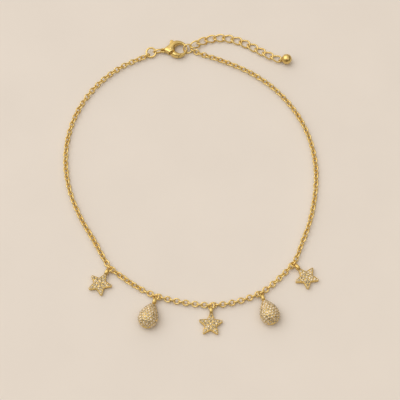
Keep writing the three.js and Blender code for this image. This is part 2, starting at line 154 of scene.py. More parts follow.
# Stones of a star: how many to a ring, how far out, the first one's angle, and the stone's radius
STAR_STONES = [[1, 0.0, 0, 0.6], [5, 1.28, 0, 0.58], [5, 1.85, 36, 0.34], [5, 2.3, 15.2, 0.56],
               [5, 2.3, -15.2, 0.56], [5, 3.4, 0, 0.63], [5, 4.36, 0, 0.38]]
# Grains that hold them: the same columns
STAR_GRAINS = [[5, 0.78, 36, 0.18], [5, 1.8, 19, 0.17], [5, 1.8, -19, 0.17], [5, 2.3, 36, 0.2],
               [5, 2.8, 0, 0.17], [5, 2.92, 16, 0.18], [5, 2.92, -16, 0.18], [5, 3.98, 8, 0.15],
               [5, 3.98, -8, 0.15]]
DROP = dict(tip=3.3, length=11.3, width=7.9, front=3.4, back=2.6, blunt=0.8, tip_height=1.55,
            belly_height=2.4)
# Stones of a drop in staggered rows across its front: first and last row in degrees from the tip,
# how far a row reaches to each side, and the spacing of rows and of stones in a row
DROP_ROWS = dict(first=36, last=170, reach=76)
DROP_ROW_PITCH = 1.16
DROP_STONE_PITCH = 1.32
DROP_STONE = 0.58
DROP_SEED = 20
GRAIN = 0.16
STONE_CROWN = 0.23
STONE_SUNK = 0.3
# How far a stone's axis leans by chance, as a share of its length
STONE_LEAN = 0.06
# Painted facet light, drawn by chance from 0 to 1: the usual value of each kind, and the spread. Low values
# paint a facet with painted shade, and the stars get more of it than the drops
STAR_PAINTED_FACET_LIGHT = 0.2
DROP_PAINTED_FACET_LIGHT = 0.32
PAINTED_FACET_LIGHT_SPREAD = 0.3

# The photograph's frame: the point at its middle, the view's elevation, distance and lens
VIEW_POINT = [4.0, -11.0, 0.0]
VIEW_ELEVATION = 64.0
VIEW_DISTANCE = 588.0
VIEW_LENS = 126.0
SENSOR_WIDTH = 36.0

# Stage, in metres: the floor's half-width and how far it lies below the pieces, the lights, and the
# room's light with the way that it comes from
FLOOR_HALF = 1.5
FLOOR_DROP = 0.00004
LIGHTS = {
    "key": dict(place=(-0.64, 0.2, 1.3), size=1.5, power=8.1, colour=(1.0, 0.99, 0.99)),
    "fill": dict(place=(0.6, -0.3, 0.9), size=0.9, power=1.6, colour=(1.0, 0.95, 0.88)),
}
ROOM = dict(way=(-0.5, 0.45, 0.74), dark=(0.2, 0.15, 0.1), bright=(1.0, 0.91, 0.81), strength=1.02)


def length_property(label, description, millimetres):
    """Length that a user can change, given in millimetres and kept in metres."""
    return FloatProperty(name=label, description=description, default=millimetres * MM, min=0.0,
                         unit="LENGTH", precision=5)


def colour_property(label, description, colour):
    """Linear colour that a user can change."""
    return FloatVectorProperty(name=label, description=description, default=colour, size=3,
                               subtype="COLOR", min=0.0, max=1.0)


class NecklaceSizes(PropertyGroup):
    """Wire and link sizes"""

    link_length: length_property("Link length", "Outer length of a chain link", 3.1)
    link_width: length_property("Link width", "Outer width of a chain link", 2.66)
    link_wire: length_property("Link wire", "Thickness of the chain's wire", 0.61)
    link_steps: IntProperty(name="Link steps", description="Sections round a chain link", default=18, min=8)
    wire_sides: IntProperty(name="Wire sides", description="Sides of a wire's section", default=8, min=5)
    stone_crown: length_property("Crown height", "Height of a stone above its setting", STONE_CROWN)


class NecklaceFinish(PropertyGroup):
    """Colours of the metal, the stones and the surface"""

    gold: colour_property("Gold", "Polished gold plate", (0.87, 0.69, 0.29))
    gold_deep: colour_property("Deep gold", "Gold plate where it is a little richer", (0.83, 0.61, 0.22))
    setting: colour_property("Setting", "Softer gold of the charms and the clasp", (0.70, 0.54, 0.21))
    stone: colour_property("Stone", "Light stones", (0.86, 0.74, 0.55))
    # Painted shade for the stones' darker facets, standing in for facets that catch less light
    stone_painted_shade: colour_property("Deep stone", "Facets that catch less light", (0.26, 0.2, 0.09))
    surface: colour_property("Surface", "Pale surface under the necklace", (0.809, 0.769, 0.72))


def unit(vectors):
    """Vectors scaled to length one."""
    return vectors / np.linalg.norm(vectors, axis=-1, keepdims=True)


def polar(radius, degrees):
    """Points of a circle in the plane z = 0: (r cos a, r sin a, 0)."""
    angle = np.radians(degrees)
    return np.stack([radius * np.cos(angle), radius * np.sin(angle), 0 * angle], axis=-1)


def turned(points, degrees):
    """Points turned about z."""
    c, s = np.cos(np.radians(degrees)), np.sin(np.radians(degrees))
    return points @ np.array([[c, s, 0.0], [-s, c, 0.0], [0.0, 0.0, 1.0]])


def swung(vector, axis, degrees):
    """Vector turned about a unit axis: the part along the axis stays, the rest turns."""
    angle = np.radians(degrees)
    along = axis * np.dot(axis, vector)
    return along + (vector - along) * np.cos(angle) + np.cross(axis, vector) * np.sin(angle)


def spaced(line):
    """Distances along a line of points, from its first."""
    return np.concatenate([[0.0], np.cumsum(np.linalg.norm(np.diff(line, axis=0), axis=1))])


class Route:
    """Smooth line through points, read by the distance along it. Each span is a cubic whose end slopes
    are half the chord between the points on either side, and past the ends the line goes on straight."""

    def __init__(self, points, per_span=160):
        p = np.asarray(points, float)
        p = np.vstack([2 * p[0] - p[1], p, 2 * p[-1] - p[-2]])
        t = np.linspace(0, 1, per_span, endpoint=False)[None, :, None]
        before, start, end, after = p[:-3, None], p[1:-2, None], p[2:-1, None], p[3:, None]
        leave, arrive = (end - before) / 2, (after - start) / 2
        spans = (2 * t**3 - 3 * t**2 + 1) * start + (t**3 - 2 * t**2 + t) * leave
        spans = spans + (3 * t**2 - 2 * t**3) * end + (t**3 - t**2) * arrive
        self.line = np.vstack([spans.reshape(-1, 3), p[-2]])
        self.reach = spaced(self.line)
        self.length = self.reach[-1]

    def at(self, distance):
        """Points at distances along the line."""
        return np.stack([np.interp(distance, self.reach, self.line[:, k]) for k in range(3)], axis=-1)

    def way(self, distance, step=0.02):
        """Unit directions at distances along the line."""
        return unit(self.at(distance + step) - self.at(distance - step))


def placed(local, centre, along, hole):
    """Local points carried to frames at centre: x runs along, z is the hole's axis made square to x.
    Many frames at once give an array with one copy of the points for each."""
    x = unit(np.asarray(along, float))
    hole = np.asarray(hole, float)
    z = unit(hole - x * np.sum(hole * x, axis=-1, keepdims=True))
    axes = np.stack([x, np.cross(z, x), z], axis=-2)
    centre = np.asarray(centre, float)
    return local @ axes + (centre[:, None] if axes.ndim == 3 else centre)


def grid_faces(rows, columns, wrap_rows=False, copies=1):
    """Quads between neighbours of a grid whose columns close on themselves. Outward is rows x columns."""
    i = np.arange(rows if wrap_rows else rows - 1)[:, None]
    j = np.arange(columns)[None, :]
    below, beside = (i + 1) % rows, (j + 1) % columns
    here, under = i * columns, below * columns
    quads = np.stack([here + j, under + j, under + beside, here + beside], axis=-1)
    first = np.arange(copies)[:, None, None] * rows * columns
    return (quads.reshape(1, -1, 4) + first).reshape(-1, 4)


class Shell:
    """Points and faces of one piece, gathered from several closed surfaces."""

    def __init__(self):
        self.points, self.faces, self.count = [], [], 0

    def add(self, points, faces, material=0, smooth=True, painted_facet_light=None):
        """Points, and lists of faces that have equally many corners, each face with its own painted facet
        light: low where a stone's facet carries painted shade, 1 elsewhere.
        """
        for number, corners in enumerate(faces):
            painted_facet_lights = np.full(len(corners), 1.0) if painted_facet_light is None else painted_facet_light[number]
            self.faces.append((corners + self.count, material, smooth, painted_facet_lights))
        flat = points.reshape(-1, 3)
        self.points.append(flat)
        self.count += len(flat)

    def add_loop(self, rows):
        """Surface of shape (rows, columns, 3), or (copies, rows, columns, 3), closed both ways."""
        copies = rows.shape[0] if rows.ndim == 4 else 1
        self.add(rows, [grid_faces(rows.shape[-3], rows.shape[-2], True, copies)])

    def add_capped(self, rows):
        """Surface of shape (rows, columns, 3), closed round its columns, with a face over each end."""
        count, columns = rows.shape[0], rows.shape[1]
        start = np.arange(columns)[None, :]
        end = (count * columns - 1 - np.arange(columns))[None, :]
        self.add(rows, [grid_faces(count, columns), start, end])


def carried(line, slope, radius, sides):
    """Round section carried along a line: line + r (cos v side + sin v rise), with side across the
    way and level with the local plane, and rise square to both."""
    way = unit(slope)
    side = unit(np.cross(way, UP))
    rise = np.cross(side, way)
    v = np.linspace(0, TURN, sides, endpoint=False)[:, None]
    return line[:, None] + radius * (np.cos(v) * side[:, None] + np.sin(v) * rise[:, None])


def wire_link(length, width, wire, twist=0.0, steps=36, sides=12):
    """Wire link: a round section carried round the oval (a cos u, b sin u, c sin 2u)."""
    u = np.linspace(0, TURN, steps, endpoint=False)
    a, b = (length - wire) / 2, (width - wire) / 2
    line = np.stack([a * np.cos(u), b * np.sin(u), twist * np.sin(2 * u)], axis=-1)
    slope = np.stack([-a * np.sin(u), b * np.cos(u), 2 * twist * np.cos(2 * u)], axis=-1)
    return carried(line, slope, wire / 2, sides)


def cut_ring(radius, wire, cut_angle, steps=56, sides=14):
    """Jump ring: a round section carried round a circle that is left open by a hairline cut."""
    u = np.radians(np.linspace(cut_angle + RING_CUT / 2, cut_angle + 360 - RING_CUT / 2, steps))
    line = np.stack([radius * np.cos(u), radius * np.sin(u), 0 * u], axis=-1)
    slope = np.stack([-np.sin(u), np.cos(u), 0 * u], axis=-1)
    return carried(line, slope, wire / 2, sides)


def slab(outline, normals, edge):
    """Plate: the outline drawn in along its normals by each inset of the edge, at each height."""
    inset, height = np.asarray(edge, float).T
    rows = outline[None] - inset[:, None, None] * normals[None]
    return np.concatenate([rows, np.broadcast_to(height[:, None, None], rows.shape[:2] + (1,))], axis=-1)


def round_edge(thickness, rounding, steps=4):
    """Edge of a plate about z = 0 with quarter-round corners: [inset, height] from face to back."""
    a = np.linspace(0, np.pi / 2, steps)
    inset = rounding * (1 - np.sin(a))
    height = thickness / 2 - rounding * (1 - np.cos(a))
    return np.stack([np.concatenate([inset, inset[::-1]]), np.concatenate([height, -height[::-1]])], axis=-1)


def bar_outline(reach, width, steps=10):
    """Bar along x from the pivot with round ends: two half circles joined by straight sides."""
    a = np.linspace(-np.pi / 2, np.pi / 2, steps)
    angle = np.concatenate([a, a + np.pi])
    middle = np.concatenate([np.full(steps, reach - width / 2), np.zeros(steps)])
    normals = np.stack([np.cos(angle), np.sin(angle)], axis=-1)
    return np.stack([middle, 0 * middle], axis=-1) + width / 2 * normals, normals


def ball_rows(radius, rows, columns, low=-np.pi / 2):
    """Sphere from its top down to a latitude: r (cos b cos a, cos b sin a, sin b)."""
    b = np.linspace(np.pi / 2 - POLE_GAP, low + POLE_GAP, rows)[:, None]
    a = np.linspace(0, TURN, columns, endpoint=False)[None, :]
    return radius * np.stack([np.cos(b) * np.cos(a), np.cos(b) * np.sin(a), np.sin(b) + 0 * a], axis=-1)


def cut_stone(radius, crown, sunk):
    """Brilliant-cut stone about z: an eight-sided table, eight star facets, eight kites and sixteen
    girdle facets, above a foot that is sunk in the metal. Gives its points and its faces."""

    def ring(count, shift, out, height):
        return polar(radius * out, (np.arange(count) + shift) * 360 / count) + height * UP

    points = np.vstack([ring(8, 0, 0.56, crown), ring(8, 0.5, 0.76, crown * 0.62), ring(16, 0, 1.0, 0.02),
                        ring(16, 0, 0.9, -sunk)])
    table, star, girdle, foot = np.split(np.arange(48), [8, 16, 32])
    corner, middle, following = girdle[0::2], girdle[1::2], np.roll(girdle[0::2], -1)
    stars = np.stack([table, star, np.roll(table, -1)], axis=-1)
    kites = np.stack([table, np.roll(star, 1), corner, star], axis=-1)
    near = np.stack([star, corner, middle], axis=-1)
    far = np.stack([star, middle, following], axis=-1)
    band = np.stack([girdle, foot, np.roll(foot, -1), np.roll(girdle, -1)], axis=-1)
    return points, [table[None], stars, kites, near, far, band, foot[::-1][None]]


def add_stones(shell, sizes, centres, along, outward, radii, seed, painted_facet_light, material=1):
    """Stones set at the centres, facing outward, each turned a little and its facets given painted shade by
    chance.
    """
    draw = np.random.default_rng(seed)
    for centre, way, face, radius in zip(centres, along, outward, radii):
        points, faces = cut_stone(radius, sizes.stone_crown / MM * radius / DROP_STONE, STONE_SUNK)
        tilt = unit(face + draw.normal(0, STONE_LEAN, 3))
        spun = turned(points, draw.uniform(0, 45))
        # Painted shade by chance: each facet's painted light, where low values darken it
        painted_facet_lights = [np.clip(draw.normal(painted_facet_light, PAINTED_FACET_LIGHT_SPREAD, len(corners)), 0, 1) for corners in faces]
        shell.add(placed(spun, centre, way, tilt), faces, material, False, painted_facet_lights)


def add_grains(shell, centres, outward, radius):
    """Round grains of metal, each a sphere sunk to a little under its middle."""
    grain = ball_rows(radius, 5, 8, -0.5)
    for centre, face in zip(centres, outward):
        shell.add_capped(placed(grain, centre, np.cross(face, [0.3, 0.9, 0.1]), face))


def make_piece(name, shell, materials, node, body=STILL_BODY, sharp=None):
    """Mesh object from a shell, riding on its body in place of the node that it stands for."""
    mesh = bpy.data.meshes.new(name)
    points = np.concatenate(shell.points) * MM
    groups, indices, smooths, painted_facet_lights = zip(*shell.faces)
    counts = [len(faces) for faces in groups]
    corners = np.concatenate([faces.ravel() for faces in groups])
    sizes = np.repeat([faces.shape[1] for faces in groups], counts)
    starts = np.cumsum(sizes) - sizes
    mesh.vertices.add(len(points))
    mesh.vertices.foreach_set("co", points.astype(np.float32).ravel())
    mesh.loops.add(len(corners))
    mesh.loops.foreach_set("vertex_index", corners.astype(np.int32))
    mesh.polygons.add(len(sizes))
    mesh.polygons.foreach_set("loop_start", starts.astype(np.int32))
    mesh.polygons.foreach_set("material_index", np.repeat(indices, counts).astype(np.int32))
    mesh.polygons.foreach_set("use_smooth", np.repeat(smooths, counts))
    # The painted facet light of each face, which the stone finish turns into painted shade
    painted_facet_light = mesh.attributes.new("painted_facet_light", "FLOAT", "FACE")
    painted_facet_light.data.foreach_set("value", np.concatenate(painted_facet_lights).astype(np.float32))
    mesh.update(calc_edges=True)
    if mesh.validate():
        raise RuntimeError(f"{name}: the mesh had faces that could not be kept")
    if sharp is not None:
        mesh.set_sharp_from_angle(angle=np.radians(sharp))
    for material in materials:
        mesh.materials.append(material)
    piece = bpy.data.objects.new(name, mesh)
    bpy.context.scene.collection.objects.link(piece)
    if node:
        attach(piece, body)
        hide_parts(node)
    return piece


def cut_away(piece, cutter, sharp):
    """Takes the cutter's volume out of a piece and removes the cutter."""
    modifier = piece.modifiers.new("cut", "BOOLEAN")
    modifier.object = cutter
    modifier.operation = "DIFFERENCE"
    modifier.solver = "EXACT"
    made = bpy.data.meshes.new_from_object(piece.evaluated_get(bpy.context.evaluated_depsgraph_get()))
    if len(made.polygons) < len(piece.data.polygons) // 2:
        raise RuntimeError(f"{piece.name}: the cut left too little")
    piece.modifiers.clear()
    piece.data = made
    made.set_sharp_from_angle(angle=np.radians(sharp))
    bpy.data.objects.remove(cutter)


def clasp_place(points):
    """Points from the clasp's own frame to the necklace's."""
    return turned(points, CLASP_TURN) + np.array([*CLASP_ORIGIN, 0.0])


def clasp_ring_frame():
    """Centre, first axis and hole axis of the clasp ring, which leans with its near edge down."""
    return np.array(CLASP_RING["centre"]), ACROSS, swung(UP, ACROSS, CLASP_RING["tilt"])


def end_ring_frame():
    """Centre, first axis and hole axis of the end ring, which leans where it goes round the nose."""
    side = swung(np.array([0.0, 1.0, 0.0]), ACROSS, END_RING["lean"])
    centre = clasp_place(np.array([END_RING["reach"], 0.0, END_RING["height"]]))
    return centre, turned(ACROSS, CLASP_TURN), turned(np.cross(ACROSS, side), CLASP_TURN)


def ring_point(ring, ring_frame, degrees):
    """Point of a ring's wire at an angle in the ring's own plane."""
    return placed(polar(ring["radius"], degrees), *ring_frame)


def chain_route():
    """The chain's middle line, and the distances of its links' middles along it."""
    start = ring_point(CLASP_RING, clasp_ring_frame(), CLASP_RING["chain"])
    end = ring_point(END_RING, end_ring_frame(), END_RING["chain"])
    route = Route([start, *[[x, y, CHAIN_HEIGHT] for x, y in CHAIN_ROUTE], end])
    return route, np.linspace(FIRST_LINK_INSET, route.length - LAST_LINK_INSET, LINK_COUNT)


def charm_ring_frame(charm):
    """Centre, outward axis and hole axis of a charm's ring: it stands out from its link and leans over
    the flat link beside it. Also the place from which the charm hangs, on the surface."""
    route, middles = chain_route()
    distance = middles[charm["link"]]
    hook, way = route.at(distance), route.way(distance)
    outward = unit(np.cross(way, UP))
    lean = swung(charm["side"] * way, outward, charm["side"] * CHARM_RING["lean"])
    rise = np.sqrt(CHARM_RING["radius"] ** 2 - CHARM_RING["drop"] ** 2)
    centre = hook + CHARM_RING["drop"] * outward + rise * lean
    hang = turned(np.array([0.0, -1.0, 0.0]), charm["swing"])
    place = centre + CHARM_RING["radius"] * outward - (CHARM_RING["drop"] + CHARM_RING["radius"]) * hang
    return (centre, outward, np.cross(outward, lean)), place * np.array([1.0, 1.0, 0.0])


def node_tools(tree):
    """Two functions for a tree: one adds a node with its values, the other links an output to an input."""

    def node(kind, **values):
        made = tree.nodes.new(kind)
        for key, value in values.items():
            if key in made.inputs:
                made.inputs[key].default_value = value
            else:
                setattr(made, key, value)
        return made

    def link(source, output, target, entry):
        tree.links.new(source.outputs[output], target.inputs[entry])

    return node, link


def new_material(name):
    """Plain material: gives it, the functions that add and link its nodes, and its shader."""
    material = bpy.data.materials.new(name)
    material.use_nodes = True
    node, link = node_tools(material.node_tree)
    return material, node, link, material.node_tree.nodes["Principled BSDF"]


def set_ramp(ramp, *stops):
    """Gives a colour ramp its two stops, each a position and a colour."""
    for element, (position, colour) in zip(ramp.color_ramp.elements, stops):
        element.position = position
        element.color = (*colour, 1.0)


def gold_finish(name, light, deep, rough, grain, bump):
    """Polished plate: its colour and gloss drift over a few millimetres, and fine marks roughen it."""
    material, node, link, shader = new_material(name)
    shader.inputs["Metallic"].default_value = 1.0
    place = node("ShaderNodeTexCoord")
    drift = node("ShaderNodeTexNoise", Scale=260.0, Detail=3.0)
    tint = node("ShaderNodeValToRGB")
    set_ramp(tint, (0.35, deep), (0.65, light))
    marks = node("ShaderNodeTexNoise", Scale=grain, Detail=4.0, Roughness=0.6)
    span = {"From Min": 0.3, "From Max": 0.7, "To Min": rough[0], "To Max": rough[1]}
    gloss = node("ShaderNodeMapRange", **span)
    dent = node("ShaderNodeBump", Strength=bump, Distance=0.00006)
    link(place, "Object", drift, "Vector")
    link(place, "Object", marks, "Vector")
    link(drift, "Fac", tint, "Fac")
    link(marks, "Fac", gloss, "Value")
    link(marks, "Fac", dent, "Height")
    link(tint, "Color", shader, "Base Color")
    link(gloss, "Result", shader, "Roughness")
    link(dent, "Normal", shader, "Normal")
    return material


def stone_finish(name, light, deep):
    """Cut stone: glossy facets, some darker than others by painted shade from their painted facet light."""
    material, node, link, shader = new_material(name)
    painted_facet_light = node("ShaderNodeAttribute", attribute_name="painted_facet_light")
    # Ramp from painted shade at 0 to the stone's own colour from 0.45 up
    tint = node("ShaderNodeValToRGB")
    set_ramp(tint, (0.0, deep), (0.45, light))
    link(painted_facet_light, "Fac", tint, "Fac")
    link(tint, "Color", shader, "Base Color")
    shader.inputs["Metallic"].default_value = 0.3
    shader.inputs["Roughness"].default_value = 0.16
    shader.inputs["IOR"].default_value = 1.8
    return material


def surface_finish(name, colour):
    """Pale smooth stone-like surface with a faint cloudiness."""
    material, node, link, shader = new_material(name)
    place = node("ShaderNodeTexCoord")
    cloud = node("ShaderNodeTexNoise", Scale=30.0, Detail=5.0)
    tint = node("ShaderNodeValToRGB")
    set_ramp(tint, (0.3, [c * 0.97 for c in colour]), (0.7, colour))
    link(place, "Object", cloud, "Vector")
    link(cloud, "Fac", tint, "Fac")
    link(tint, "Color", shader, "Base Color")
    shader.inputs["Roughness"].default_value = 0.75
    shader.inputs["Specular IOR Level"].default_value = 0.2
    return material


def finish(name):
    """The named finish, made once."""
    if name in bpy.data.materials:
        return bpy.data.materials[name]
    colours = bpy.context.scene.necklace_finish
    gold, deep, soft = tuple(colours.gold), tuple(colours.gold_deep), tuple(colours.setting)
    makers = {
        "wire_gold": lambda: gold_finish(name, gold, deep, (0.28, 0.4), 2200.0, 0.1),
        "clasp_gold": lambda: gold_finish(name, deep, soft, (0.2, 0.3), 1500.0, 0.12),
        "setting_gold": lambda: gold_finish(name, soft, deep, (0.36, 0.5), 1800.0, 0.2),
        "cut_stone": lambda: stone_finish(name, tuple(colours.stone), tuple(colours.stone_painted_shade)),
        "pale_surface": lambda: surface_finish(name, tuple(colours.surface)),
    }
    return makers[name]()


class NECKLACE_OT_stage(Operator):
    """Pale floor, soft light from the left, and the camera at the photograph's angle"""

    bl_idname = "necklace.stage"
    bl_label = "Stage"

    def execute(self, context):
        scene = context.scene
        corners = FLOOR_HALF * np.array([[-1, -1, 0], [1, -1, 0], [1, 1, 0], [-1, 1, 0]], float)
        mesh = bpy.data.meshes.new("floor")
        mesh.from_pydata((corners - FLOOR_DROP * UP).tolist(), [], [[0, 1, 2, 3]])
        mesh.materials.append(finish("pale_surface"))
        floor = bpy.data.objects.new("floor", mesh)
        scene.collection.objects.link(floor)

        target = Vector(VIEW_POINT) * MM
        rise = np.radians(VIEW_ELEVATION)
        back = Vector((0.0, -np.cos(rise), np.sin(rise)))
        camera = bpy.data.objects.new("camera", bpy.data.cameras.new("camera"))
        camera.location = target + back * (VIEW_DISTANCE * MM)
        camera.rotation_euler = (-back).to_track_quat("-Z", "Y").to_euler()
        camera.data.lens = VIEW_LENS
        camera.data.sensor_width = SENSOR_WIDTH
        camera.data.clip_start = 0.01
        scene.collection.objects.link(camera)
        scene.camera = camera

        scene.view_settings.view_transform = "Standard"
        for name, light in LIGHTS.items():
            self.area_light(scene, name, **light)
        self.world(scene)
        return {"FINISHED"}

    def area_light(self, scene, name, place, size, power, colour):
        """Square light that faces the necklace."""
        data = bpy.data.lights.new(name, "AREA")
        data.shape = "SQUARE"
        data.size = size
        data.energy = power
        data.color = colour
        light = bpy.data.objects.new(name, data)
        light.location = place
        light.rotation_euler = (-Vector(place)).to_track_quat("-Z", "Y").to_euler()
        scene.collection.objects.link(light)

    def world(self, scene):
        """Room light that falls off from the upper left to the lower right."""
        world = bpy.data.worlds.new("room")
        world.use_nodes = True
        node, link = node_tools(world.node_tree)
        place = node("ShaderNodeTexCoord")
        turn = node("ShaderNodeVectorMath", operation="DOT_PRODUCT")
        turn.inputs[1].default_value = ROOM["way"]
        ramp = node("ShaderNodeValToRGB")
        set_ramp(ramp, (0.0, ROOM["dark"]), (1.0, ROOM["bright"]))
        background = world.node_tree.nodes["Background"]
        background.inputs["Strength"].default_value = ROOM["strength"]
        link(place, "Generated", turn, 0)
        link(turn, "Value", ramp, "Fac")
        link(ramp, "Color", background, "Color")
        scene.world = world


class NECKLACE_OT_chain(Operator):
    """Left and right runs of interlocking oval links"""

    bl_idname = "necklace.chain"
    bl_label = "Chain runs"

    def execute(self, context):
        sizes = context.scene.necklace_sizes
        length, width, wire = sizes.link_length / MM, sizes.link_width / MM, sizes.link_wire / MM
        route, middles = chain_route()
        index = np.arange(LINK_COUNT)
        way = route.way(middles)
        level = unit(np.cross(UP, way))
        rise = np.cross(way, level)
        roll = np.radians(self.roll(index, level[-1], rise[-1]))[:, None]
        on_edge = np.cos(roll) * level + np.sin(roll) * rise
        flat = np.cos(roll) * rise - np.sin(roll) * level
        hole = np.where((index % 2 == 0)[:, None], on_edge, flat)
        # The chain settles until its more upright links rest on the surface
        widest = np.maximum(np.abs(np.cos(roll)), np.abs(np.sin(roll)))[:, 0]
        settle = CHAIN_HEIGHT - wire / 2 - (width - wire) / 2 * widest - SETTLED_GAP
        fade = np.clip(np.minimum(index, LINK_COUNT - 1 - index) / END_FADE, 0, 1)
        centres = route.at(middles) - (settle * fade)[:, None] * UP
        link = wire_link(length, width, wire, 0.0, sizes.link_steps, sizes.wire_sides)
        rows = placed(link.reshape(-1, 3), centres, way, hole).reshape(LINK_COUNT, *link.shape)
        lift = np.maximum(FLOOR_GAP - rows[..., 2].min(axis=(1, 2)), 0.0)
        rows = rows + lift[:, None, None, None] * UP
        for name, run in (("chain_left", index <= MEETING_LINK), ("chain_right", index > MEETING_LINK)):
            shell = Shell()
            shell.add_loop(rows[run])
            make_piece(f"{name}_links", shell, [finish("wire_gold")], name)
        return {"FINISHED"}

    def roll(self, index, level, rise):
        """Degrees of roll of each link: the table's, with a little chance where it lies rolled, and at
        the end the roll that puts the last link's hole on the end ring's wire."""
        tangent = placed(polar(1.0, END_RING["chain"] + 90), np.zeros(3), *end_ring_frame()[1:])
        last = np.degrees(np.arctan2(-tangent @ level, tangent @ rise))
        last = (last + 90) % 180 - 90
        stops = np.array([*CHAIN_ROLL, [LINK_COUNT - 1, last]], float)
        even = np.interp(index, stops[:, 0], stops[:, 1])
        inner = np.clip(np.minimum(index, LINK_COUNT - 1 - index) / END_FADE - 0.5, 0, 1)
        chance = np.random.default_rng(ROLL_SEED).uniform(-ROLL_JITTER, ROLL_JITTER, LINK_COUNT)
        return even + chance * inner * np.abs(even) / 45


class NECKLACE_OT_rings(Operator):
    """Jump rings of the clasp, the chain's end and the charms, and the clasp's link"""

    bl_idname = "necklace.rings"
    bl_label = "Jump rings"

    def execute(self, context):
        self.ring("clasp_ring", CLASP_RING, clasp_ring_frame())
        self.ring("end_ring", END_RING, end_ring_frame())
        for name, charm in CHARMS.items():
            self.ring(f"{name}_ring", CHARM_RING, charm_ring_frame(charm)[0])
        start = ring_point(CLASP_RING, clasp_ring_frame(), CLASP_RING["clasp"])
        eye = [CLASP_EYE["x"] - CLASP_EYE["radius"], 0.0, CLASP_THICKNESS / 2]
        end = clasp_place(np.array(eye))
        shell = Shell()
        shell.add_loop(placed(wire_link(**CLASP_LINK), (start + end) / 2, end - start, [0, 1, 0]))
        make_piece("clasp_link_wire", shell, [finish("wire_gold")], "clasp_link")
        return {"FINISHED"}

    def ring(self, node, ring, ring_frame):
        """One jump ring in place of its node."""
        shell = Shell()
        shell.add_capped(placed(cut_ring(ring["radius"], ring["wire"], ring["cut"]), *ring_frame))
        make_piece(f"{node}_wire", shell, [finish("wire_gold")], node, sharp=RING_SHARP)


def clasp_outline(angle):
    """Distance from the hole's middle to the pear outline: the head's circle in front, a straight
    flank behind it, and the base's circle at the eye."""
    head, base, hole = CLASP_HEAD, CLASP_BASE, CLASP_HOLE
    slant = np.arcsin((head["radius"] - base["radius"]) / (head["x"] - base["x"]))
    normal = np.array([-np.sin(slant), np.cos(slant)])

    def touch(circle):
        ahead = circle["x"] - hole["x"] + circle["radius"] * normal[0]
        return np.arctan2(circle["radius"] * normal[1], ahead)

    def circle_reach(circle):
        shift = circle["x"] - hole["x"]
        inside = np.maximum(circle["radius"] ** 2 - (shift * np.sin(angle)) ** 2, 0)
        return shift * np.cos(angle) + np.sqrt(inside)

    folded = np.abs((angle + np.pi) % TURN - np.pi)
    facing = np.maximum(normal[0] * np.cos(folded) + normal[1] * np.sin(folded), 0.05)
    flank = (head["radius"] - normal[0] * (hole["x"] - head["x"])) / facing
    parts = [circle_reach(head), flank]
    return np.select([folded < touch(head), folded < touch(base)], parts, circle_reach(base))


def pivot_circle(radius):
    """Cut along a circle about the pivot: gives the angle about the hole's middle for a distance out."""
    gap = CLASP_HOLE["x"] - PIVOT_X
    return lambda out: -np.arccos(np.clip((radius**2 - gap**2 - out**2) / (2 * gap * out), -1, 1))


def cheek_cut(out):
    """Cut where the cheeks end: the same angle about the hole's middle at every distance out."""
    return np.radians(CHEEK_ANGLE) + 0 * out


def clasp_sweep(start_cut, end_cut, steps, sides=36):
    """Part of the clasp's ring of metal: a rounded section between the hole and the outline, carried
    round the hole from one cut to another. Each cut gives the angle for a distance from the hole."""
    hole = CLASP_HOLE
    u = np.linspace(0, 1, steps)[:, None]
    v = np.linspace(0, TURN, sides, endpoint=False)[None, :]
    across = np.sign(np.cos(v)) * np.abs(np.cos(v)) ** (2 / SECTION_SQUARENESS)
    rise = np.sign(np.sin(v)) * np.abs(np.sin(v)) ** (2 / SECTION_SQUARENESS)
    # The cuts depend on the distance and the distance on the angle, so a few rounds settle both
    out = hole["radius"] + 0.75 + 0 * (u + v)
    for _ in range(8):
        start, end = start_cut(out), end_cut(out)
        angle = start + (end - start) * u
        out = hole["radius"] + (clasp_outline(angle) - hole["radius"]) * (1 + across) / 2
    x = hole["x"] + out * np.cos(angle)
    share = np.clip((x - CLASP_TAPER[0]) / (CLASP_TAPER[1] - CLASP_TAPER[0]), 0, 1)
    share = share * share * (3 - 2 * share)
    half = (CLASP_THICKNESS + (CLASP_NOSE_THICKNESS - CLASP_THICKNESS) * share) / 2
    return np.stack([x, out * np.sin(angle), CLASP_THICKNESS / 2 + half * rise], axis=-1)


def pivot_plate(outline, normals, thickness, rounding, degrees):
    """Plate about the clasp's middle plane, drawn from the pivot and turned about it."""
    rows = turned(slab(outline, normals, round_edge(thickness, rounding)), degrees)
    return clasp_place(rows + np.array([PIVOT_X, 0.0, CLASP_THICKNESS / 2]))


def disc_outline(radius, steps=40):
    """Circle about the pivot and its outward normals."""
    normals = polar(1.0, np.linspace(0, 360, steps, endpoint=False))[:, :2]
    return radius * normals, normals


